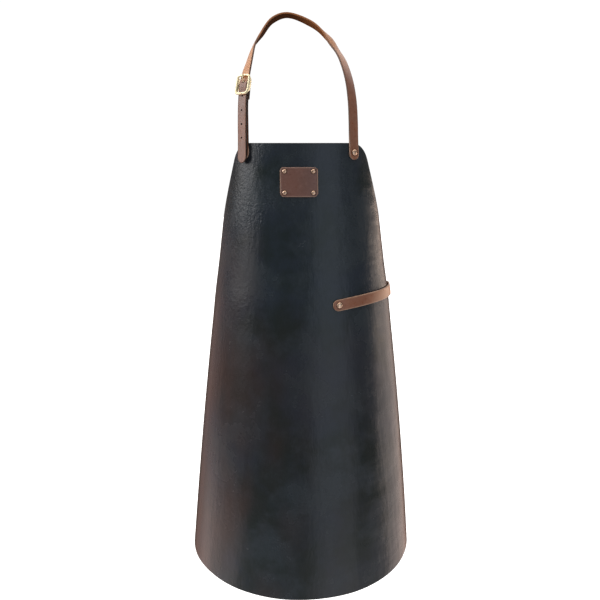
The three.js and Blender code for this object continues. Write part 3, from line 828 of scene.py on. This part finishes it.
def join_tubes(name, tubes, place, materials):
    points, faces = [], []
    for tube_points, tube_faces in tubes:
        faces += [tuple(len(points) + k for k in face) for face in tube_faces]
        points += [place @ Vector(p) for p in tube_points]
    return sharpen(mesh_object(name, to_frame(points), faces, materials), WIRE_SHARP)


def buckle_place():
    """The middle of the buckle's frame: x across the strap, y up along it, z outwards."""
    point, tangent, facing, across = (v[0] for v in neck_route.at(np.array([buckle_along])))
    turned = Matrix((across, -tangent, facing)).transposed().to_4x4()
    return Matrix.Translation(Vector(point + facing * frame_lift)) @ turned


def squared(value):
    return np.sign(value) * np.abs(value) ** (2 / FRAME_SQUARENESS)


def make_buckle_frame(materials):
    angles = np.linspace(0, 2 * math.pi, FRAME_OUTLINE_POINTS, endpoint=False)
    level = squared(np.sin(angles))
    raw = np.stack([
        FRAME_HALF_WIDTH * squared(np.cos(angles)), FRAME_HALF_HEIGHT * level,
        -FRAME_ARCH * np.cos(level * math.pi / 2),
    ], -1)
    closed = np.vstack([raw, raw[:1]])
    run = running_length(closed)
    even = np.linspace(0, run[-1], FRAME_ROWS, endpoint=False)
    loop = np.stack([np.interp(even, run, closed[:, k]) for k in range(3)], -1)
    leg = FRAME_HALF_WIDTH - BAR_LEG_INSET
    side = [
        (leg + BAR_FOOT, 0, -FRAME_ARCH),
        (leg, 0, -BAR_DEPTH + BAR_BEND),
        (leg - BAR_BEND_MIDDLE, 0, -BAR_DEPTH + BAR_BEND_MIDDLE),
        (leg - BAR_BEND, 0, -BAR_DEPTH),
    ]
    bar = catmull([(-x, y, z) for x, y, z in side] + side[::-1], BAR_STEPS)
    wire, wire_faces = tube(loop, FRAME_WIRE, True)
    wire = np.array(wire)
    leg_end = FRAME_LEG_SHARE * FRAME_HALF_HEIGHT
    on_leg = 1 - smooth(leg_end, FRAME_HALF_HEIGHT - FRAME_WIRE, np.abs(wire[:, 1]))
    towards_back = np.clip((-FRAME_ARCH - wire[:, 2]) / FRAME_WIRE, 0, 1)
    wire[:, 2] -= FRAME_LEG_DEPTH * on_leg * towards_back
    tubes = [(wire, wire_faces), tube(bar, BAR_RADIUS, False)]
    return join_tubes("buckle_frame_brass", tubes, buckle_place(), materials)


def make_prong(materials):
    eye_radius = BAR_RADIUS + METAL_GAP + PRONG_RADIUS
    turns = np.linspace(0, 2 * math.pi, EYE_ROWS, endpoint=False)
    round_bar = eye_radius * np.cos(turns), eye_radius * np.sin(turns) - BAR_DEPTH
    eye = np.stack([np.zeros(EYE_ROWS), *round_bar], -1)
    leave = (0, eye_radius * math.cos(PRONG_LEAVE), eye_radius * math.sin(PRONG_LEAVE) - BAR_DEPTH)
    tip = (0, FRAME_HALF_HEIGHT + PRONG_OVERHANG, FRAME_WIRE + METAL_GAP + PRONG_RADIUS)
    pin = bezier(np.linspace(0, 1, PIN_ROWS), leave, (0, *PRONG_BEND), tip)
    tubes = [tube(eye, PRONG_RADIUS, True), tube(pin, PRONG_RADIUS, False)]
    return join_tubes("buckle_prong_brass", tubes, buckle_place(), materials)


# Materials

class Nodes:
    """A node tree that is built line by line."""

    def __init__(self, tree, place):
        self.tree = tree
        self.coords = tree.nodes.new("ShaderNodeTexCoord")
        self.place = self.coords.outputs[place]

    def feed(self, node, socket, value):
        if isinstance(value, bpy.types.NodeSocket):
            self.tree.links.new(value, node.inputs[socket])
        else:
            node.inputs[socket].default_value = value

    def scaled(self, x, y, z):
        node = self.tree.nodes.new("ShaderNodeMapping")
        self.feed(node, "Vector", self.place)
        node.inputs["Scale"].default_value = (x, y, z)
        return node.outputs["Vector"]

    def noise(self, scale, detail=3, rough=0.5, vector=None):
        node = self.tree.nodes.new("ShaderNodeTexNoise")
        self.feed(node, "Vector", vector or self.place)
        self.feed(node, "Scale", scale)
        self.feed(node, "Detail", detail)
        self.feed(node, "Roughness", rough)
        return node.outputs["Fac"]

    def cells(self, scale):
        node = self.tree.nodes.new("ShaderNodeTexVoronoi")
        self.feed(node, "Vector", self.place)
        self.feed(node, "Scale", scale)
        return node.outputs["Distance"]

    def spread(self, value, low, high, to_low=0.0, to_high=1.0):
        node = self.tree.nodes.new("ShaderNodeMapRange")
        node.interpolation_type = "SMOOTHSTEP"
        ends = {"From Min": low, "From Max": high, "To Min": to_low, "To Max": to_high}
        for socket, number in ends.items():
            node.inputs[socket].default_value = number
        self.feed(node, "Value", value)
        return node.outputs["Result"]

    def math(self, operation, a, b=0.0):
        node = self.tree.nodes.new("ShaderNodeMath")
        node.operation = operation
        self.feed(node, 0, a)
        self.feed(node, 1, b)
        return node.outputs["Value"]

    def mix(self, share, a, b):
        node = self.tree.nodes.new("ShaderNodeMix")
        node.data_type = "RGBA"
        self.feed(node, "Factor", share)
        self.feed(node, 6, a)
        self.feed(node, 7, b)
        return node.outputs[2]

    def axis(self, name):
        node = self.tree.nodes.new("ShaderNodeSeparateXYZ")
        self.feed(node, "Vector", self.place)
        return node.outputs[name]

    def flat(self, name):
        """Distance along a leather piece (X) or across it from its middle (Y), in metres."""
        node = self.tree.nodes.new("ShaderNodeSeparateXYZ")
        self.feed(node, "Vector", self.coords.outputs["UV"])
        return node.outputs[name]

    def stretch(self, start, full, fade, end):
        """A share that is 1 between two distances along a leather piece, in millimetres."""
        along = self.flat("X")
        rise = self.spread(along, start * MM, full * MM)
        return self.math("MULTIPLY", rise, self.spread(along, fade * MM, end * MM, 1, 0))

    def seen(self):
        """1 where the picture shows a surface itself, 0 where the surface only gives light."""
        return self.tree.nodes.new("ShaderNodeLightPath").outputs["Is Camera Ray"]

    def between(self, value, low, high, border):
        """A share that is 1 between two angles in degrees, with soft borders."""
        low, high, border = (math.radians(v) for v in (low, high, border))
        rise = self.spread(value, low - border / 2, low + border / 2)
        return self.math("MULTIPLY", rise, self.spread(value, high - border / 2, high + border / 2, 1, 0))

    def vector(self, operation, a, b):
        node = self.tree.nodes.new("ShaderNodeVectorMath")
        node.operation = operation
        self.feed(node, 0, a)
        self.feed(node, "Scale" if operation == "SCALE" else 1, b)
        return node.outputs["Vector"]

    def bump(self, height, strength, distance, below=None):
        node = self.tree.nodes.new("ShaderNodeBump")
        self.feed(node, "Height", height)
        self.feed(node, "Strength", strength)
        self.feed(node, "Distance", distance)
        if below is not None:
            self.feed(node, "Normal", below)
        return node.outputs["Normal"]


class Shader(Nodes):
    """A material on the principled shader."""

    def __init__(self, name):
        self.material = bpy.data.materials.new(name)
        self.material.use_nodes = True
        super().__init__(self.material.node_tree, "Object")
        self.bsdf = self.tree.nodes["Principled BSDF"]

    def set(self, **values):
        for socket, value in values.items():
            self.bsdf.inputs[socket.replace("_", " ")].default_value = value

    def put(self, socket, output):
        self.tree.links.new(output, self.bsdf.inputs[socket])


def color(red, green, blue):
    """A colour from 0 to 255 screen values."""
    shares = (red / 255, green / 255, blue / 255)
    linear = [v / 12.92 if v <= 0.04045 else ((v + 0.055) / 1.055) ** 2.4 for v in shares]
    return (*linear, 1)


# Leather tones: base, reddish and pale of the grain sides, then tints: pull-up tan and painted light,
# painted shade, painted highlight
STRAP_TONES = (color(130, 86, 66), color(138, 87, 63), color(186, 142, 116))
LABEL_TONES = (color(109, 77, 68), color(116, 80, 70), color(158, 124, 110))
PULL_UP_AND_LIT_TAN = color(218, 150, 98)
FLESH_PAINTED_SHADE = color(48, 25, 11)
END_HIGHLIGHT_EDGE = color(178, 144, 124)
TANNED_EDGE = color(158, 98, 52)
EDGE_PAINTED_SHADE = color(48, 32, 25)


def hide_material():
    """Waxed hide: blue-black with browner patches, a broken grain and soft upright creases."""
    s = Shader("hide_grain")
    clouds = s.noise(7, 4, 0.6)
    smudges = s.noise(15, 4, 0.6)
    brown = s.spread(s.noise(5, 3, 0.5, s.scaled(1, 1, 0.5)), 0.4, 0.66)
    from_left = s.math("ADD", s.axis("X"), s.math("MULTIPLY", s.axis("Z"), 0.3))
    # Browner patches, stronger towards the lower left, where they also stand for a painted warm sheen
    brown_and_sheen_left_low = s.spread(from_left, -0.34, -0.16, 1, 0.25)
    blue = s.mix(s.spread(clouds, 0.38, 0.6), color(23, 35, 36), color(34, 44, 55))
    tone = s.mix(s.spread(smudges, 0.42, 0.66), blue, color(41, 51, 58))
    s.put("Base Color", s.mix(s.math("MULTIPLY", brown, brown_and_sheen_left_low), tone, color(52, 38, 35)))
    wax = s.math("ADD", s.math("MULTIPLY", smudges, 0.6), s.math("MULTIPLY", clouds, 0.4))
    s.put("Roughness", s.spread(wax, 0.36, 0.64, 0.19, 0.3))
    s.set(Specular_IOR_Level=0.42, Coat_Weight=1, Coat_IOR=1, Coat_Roughness=0.3)
    s.set(Coat_Tint=(0.965, 0.925, 0.91, 1))
    pores = s.spread(s.cells(900), 0.0, 0.75)
    pebbles = s.noise(175, 3, 0.6)
    pulls = s.noise(60, 4, 0.6, s.scaled(1, 1, 0.22))
    grain = s.bump(pores, 0.1, 0.0005)
    coarse = s.spread(s.axis("X"), -0.06, 0.05, 0.58, 0.17)
    coarse = s.math("MULTIPLY", coarse, s.spread(s.noise(10, 3), 0.4, 0.6, 0.4, 1))
    coarse = s.math("MULTIPLY", coarse, s.spread(s.axis("Z"), -0.75, -0.35, 0.4, 1))
    grain = s.bump(pebbles, coarse, 0.0016, grain)
    grain = s.bump(pulls, 0.25, 0.003, grain)
    ripples = s.noise(14, 2, 0.5, s.scaled(0.5, 0.5, 1.6))
    s.put("Normal", s.bump(ripples, s.spread(s.axis("X"), 0.06, 0.15, 0, 0.26), 0.012, grain))
    return s.material


def flesh_material(name, dark, light, shade_stretch=None):
    """The napped back of leather, darkened with painted shade along the given stretch."""
    s = Shader(name)
    nap = s.noise(700, 4, 0.7)
    clouds = s.noise(11, 5, 0.65)
    brushed = s.math("ADD", s.math("MULTIPLY", nap, 0.45), s.math("MULTIPLY", clouds, 0.55))
    tone = s.mix(s.spread(brushed, 0.28, 0.72), dark, light)
    # Painted shade darkens the flesh side over the stretch
    if shade_stretch is not None:
        tone = s.mix(s.math("MULTIPLY", s.stretch(*shade_stretch), 0.88), tone, FLESH_PAINTED_SHADE)
    s.put("Base Color", tone)
    s.set(Roughness=0.95, Specular_IOR_Level=0.05)
    s.put("Normal", s.bump(nap, 0.4, 0.0005))
    return s.material


def edge_material(name, dark, light, tints=()):
    """A cut edge with the fibres running along it, tinted over some stretches."""
    s = Shader(name)
    fibres = s.noise(420, 4, 0.65)
    tone = s.mix(s.spread(fibres, 0.35, 0.65), dark, light)
    for stretch, tint in tints:
        tone = s.mix(s.stretch(*stretch), tone, tint)
    s.put("Base Color", tone)
    s.put("Roughness", s.spread(fibres, 0.3, 0.7, 0.35, 0.5))
    s.set(Specular_IOR_Level=0.4)
    s.put("Normal", s.bump(fibres, 0.25, 0.0004))
    return s.material


def strap_material(name, base, red, pale, crease=STRAP_CREASE, pull_up_and_light=(), plate=None):
    """Vegetable-tanned leather: tan where it is bent or where light is painted on, and paler along its
    edges, which have a creased line; that pale strip is wear and also a painted highlight.

    A plate, given by its width and height, has the line along its ends as well."""
    s = Shader(name)
    clouds = s.noise(22, 4, 0.6)
    specks = s.noise(160, 4, 0.65)
    tone = s.mix(s.spread(clouds, 0.35, 0.65), base, red)
    tone = s.mix(s.spread(specks, 0.45, 0.8, 0, 0.22), tone, pale)
    # Tan over the given stretches: pull-up where the leather is bent, painted light where a stretch stands
    # for a strong light on it
    for bend, share in pull_up_and_light:
        tone = s.mix(s.math("MULTIPLY", s.stretch(*bend), share), tone, PULL_UP_AND_LIT_TAN)
    side = s.math("ABSOLUTE", s.flat("Y"))
    if plate is not None:
        width, height = plate
        from_middle = s.math("ABSOLUTE", s.math("SUBTRACT", s.flat("X"), height / 2 * MM))
        side = s.math("MAXIMUM", side, s.math("ADD", from_middle, (width - height) / 2 * MM))
    # Pale strip outside the creased line: wear, and also a painted highlight along the edges
    worn_and_lit_edge = s.spread(side, crease * MM, (crease + CREASE_WEAR_AND_HIGHLIGHT) * MM, 0, 0.75)
    s.put("Base Color", s.mix(worn_and_lit_edge, tone, pale))
    s.put("Roughness", s.spread(specks, 0.3, 0.7, 0.27, 0.38))
    s.set(Specular_IOR_Level=0.5)
    line = s.math("SUBTRACT", s.spread(side, (crease - CREASE_HALF) * MM, crease * MM),
                  s.spread(side, crease * MM, (crease + CREASE_HALF) * MM))
    grain = s.bump(s.spread(s.cells(1100), 0, 0.7), 0.12, 0.0005)
    grain = s.bump(specks, 0.1, 0.0008, grain)
    s.put("Normal", s.bump(s.math("MULTIPLY", line, -1.0), 0.5, 0.0006, grain))
    return s.material


def metal_material(name, base, dull, rough):
    """Brushed metal, duller in spots."""
    s = Shader(name)
    tarnish = s.spread(s.noise(200, 3, 0.6), 0.45, 0.75)
    s.put("Base Color", s.mix(s.math("MULTIPLY", tarnish, 0.6), base, dull))
    s.put("Roughness", s.spread(s.noise(400, 3, 0.6), 0.3, 0.7, rough, rough + 0.14))
    s.set(Metallic=1.0)
    s.put("Normal", s.bump(s.noise(900, 2, 0.5), 0.03, 0.0004))
    return s.material


# Leather of each piece: grain side, flesh side and cut edge

def hide_leather():
    return [
        hide_material(),
        flesh_material("hide_flesh", color(44, 40, 38), color(112, 102, 94)),
        edge_material("hide_edge", color(20, 19, 19), color(40, 37, 35)),
    ]


def neck_leather(back):
    pull_up_and_light = [(neck_stretch(*rows), share) for rows, share in NECK_BENDS_AND_LIGHT]
    edge = edge_material("neck_edge", color(88, 58, 43), color(118, 82, 62), [
        # Painted highlight round the strap's end
        (NECK_END_HIGHLIGHT, END_HIGHLIGHT_EDGE),
        (neck_stretch(*NECK_TANNED), TANNED_EDGE),
        # Painted shade on the edge where the buckle strap lies behind
        ((buckle_along - EDGE_SHADE_RUN, buckle_along, *PAST_END), EDGE_PAINTED_SHADE),
    ])
    return [strap_material("neck_grain", *STRAP_TONES, pull_up_and_light=pull_up_and_light), back, edge]


def buckle_strap_leather(back):
    tints = [(BUCKLE_END_HIGHLIGHT, END_HIGHLIGHT_EDGE)]
    # The buckle strap's edge is painted dark as shade behind the neck strap
    edge = edge_material("buckle_edge", color(44, 29, 22), color(68, 46, 35), tints)
    return [strap_material("strap_grain", *STRAP_TONES), back, edge]


def towel_leather(back, edge):
    grain = strap_material("towel_grain", *STRAP_TONES, crease=TOWEL_CREASE, pull_up_and_light=TOWEL_BENDS)
    return [grain, back, edge]


def label_leather(back, edge):
    crease = LABEL_WIDTH / 2 - LABEL_CREASE_INSET
    plate = (LABEL_WIDTH, LABEL_HEIGHT)
    return [strap_material("label_grain", *LABEL_TONES, crease=crease, plate=plate), back, edge]


# Studio

def plain_floor():
    """A plain pale floor, on which the soft lights shine."""
    level = float(to_frame([0, 0, -BODY_LENGTH])[2]) - FLOOR_DROP
    corners = [(x * FLOOR_HALF, y * FLOOR_HALF, level) for x, y in ((-1, -1), (1, -1), (1, 1), (-1, 1))]
    s = Shader("pale_floor")
    paint = s.mix(s.noise(3, 2), color(246, 246, 246), color(250, 250, 250))
    s.put("Base Color", s.mix(s.seen(), color(110, 110, 110), paint))
    glow = (0, 0, 0)
    for aside, left, right, border, full, end, tint in FLOOR_LIGHTS:
        x = s.math("SUBTRACT", s.axis("X"), aside)
        y = s.math("SUBTRACT", s.axis("Y"), FLOOR_CENTRE)
        distance = s.math("SQRT", s.math("ADD", s.math("MULTIPLY", x, x), s.math("MULTIPLY", y, y)))
        patch = s.between(s.math("ARCTAN2", x, y), left, right, border)
        patch = s.math("MULTIPLY", patch, s.spread(distance, full, end, 1, 0))
        glow = s.vector("ADD", s.vector("SCALE", tint, patch), glow)
    s.put("Emission Color", s.mix(s.seen(), glow, FLOOR_GLOW))
    s.set(Roughness=0.9, Emission_Strength=1)
    floor = mesh_object("floor", corners, [(0, 1, 2, 3)], [s.material])


def studio_world():
    """A dim room with soft patches of light in it."""
    world = bpy.data.worlds.new("studio")
    world.use_nodes = True
    n = Nodes(world.node_tree, "Generated")
    azimuth = n.math("ARCTAN2", n.axis("X"), n.axis("Y"))
    elevation = n.math("ARCSINE", n.axis("Z"))
    total = ROOM_LIGHT
    for left, right, low, high, border, tint in SOFT_LIGHTS:
        round_about = n.between(azimuth, left, right, border)
        patch = n.math("MULTIPLY", round_about, n.between(elevation, low, high, border))
        total = n.vector("ADD", n.vector("SCALE", tint, patch), total)
    n.feed(world.node_tree.nodes["Background"], "Color", n.mix(n.seen(), total, BACKDROP))
    bpy.context.scene.world = world


def photo_camera():
    data = bpy.data.cameras.new("camera")
    data.sensor_width = SENSOR
    data.lens = FOCAL_LENGTH / PICTURE_WIDTH * SENSOR
    camera = bpy.data.objects.new("camera", data)
    camera.location = to_frame([0, -CAMERA_DISTANCE, 0])
    camera.rotation_euler = (math.pi / 2 - CAMERA_PITCH, 0, CAMERA_YAW)
    bpy.context.scene.collection.objects.link(camera)
    bpy.context.scene.camera = camera


def studio():
    bpy.context.scene.view_settings.view_transform = "Standard"
    photo_camera()
    studio_world()
    plain_floor()


# The apron: each piece with its node and its slot

def leather_pieces():
    shade_stretch = neck_stretch(*NECK_SHADED_FLESH)
    back = flesh_material("strap_flesh", color(104, 60, 33), color(150, 94, 56), shade_stretch)
    edge = edge_material("strap_edge", color(150, 114, 92), color(184, 148, 124))
    # Hole walls are painted near-black as shade inside the holes
    shaded_hole_wall = edge_material("shaded_hole_wall", color(20, 13, 10), color(36, 24, 18))
    return [
        (make_body(hide_leather()), "apron_body", "hide"),
        (make_neck_strap(neck_leather(back), shaded_hole_wall), "neck_strap", "strap"),
        (make_buckle_strap(buckle_strap_leather(back), shaded_hole_wall), "buckle_strap", "strap"),
        (make_towel_strap(towel_leather(back, edge)), "towel_strap", "strap"),
        (make_label(label_leather(back, edge)), "label_patch", "label"),
    ]


def buckle_pieces():
    brass = metal_material("buckle_brass", color(250, 237, 202), color(224, 196, 138), 0.42)
    return [
        (make_buckle_frame([brass]), "buckle_frame", "buckle"),
        (make_prong([brass]), "buckle_prong", "buckle"),
    ]


def rivet_pieces():
    metal = metal_material("rivet_copper", color(228, 192, 166), color(160, 114, 90), 0.18)
    # The ring under each head is painted dark as shade round the dome
    rim = metal_material("rivet_shade_ring", color(70, 50, 40), color(46, 34, 28), 0.45)
    pieces = []

    def add(node, point, facing, size, grip):
        rivet = make_rivet(node + "_metal", point, facing, size, grip, [metal, rim])
        pieces.append((rivet, node, "rivet"))

    def on_hide(node, arc, drop, gap, wall, size):
        point, facing = seat(arc, drop, gap + wall + RIVET_GAP)
        add(node, point, facing, size, RIVET_GAP + wall + gap + BODY_WALL + CAP_GAP)

    on_hide("neck_rivet_right", RIGHT_ARC, RIGHT_RIVET_DROP, SEAT_GAP, NECK_WALL, LARGE_RIVET)
    on_hide("neck_rivet_left", LEFT_ARC, LEFT_RIVET_DROP, 2 * SEAT_GAP, BUCKLE_WALL, LARGE_RIVET)
    corners = ((-1, -1), (1, -1), (-1, 1), (1, 1))
    for number, (side, level) in enumerate(corners, 1):
        arc = LABEL_ARC + side * LABEL_RIVET_SPREAD[0]
        drop = LABEL_DROP + level * LABEL_RIVET_SPREAD[1]
        on_hide(f"label_rivet_{number}", arc, drop, SEAT_GAP, LABEL_WALL, SMALL_RIVET)
    for node, row in zip(("towel_rivet_front", "towel_rivet_back"), TOWEL_RIVET_ROWS):
        arc, drop, gap = TOWEL_RUN[row]
        on_hide(node, arc, drop, gap, TOWEL_WALL, LARGE_RIVET)

    point, _, facing, _ = (v[0] for v in neck_route.at(np.array([buckle_along - FOLD_RIVET_RISE])))
    point = point + facing * (beside + BUCKLE_WALL / 2 + RIVET_GAP)
    add("buckle_fold_rivet", point, facing, FLAT_RIVET, 2 * RIVET_GAP + BUCKLE_WALL + beside - behind)
    return pieces


def dress():
    for piece, node, slot in leather_pieces() + buckle_pieces() + rivet_pieces():
        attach(piece, "root")
        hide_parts(node)


studio()
dress()
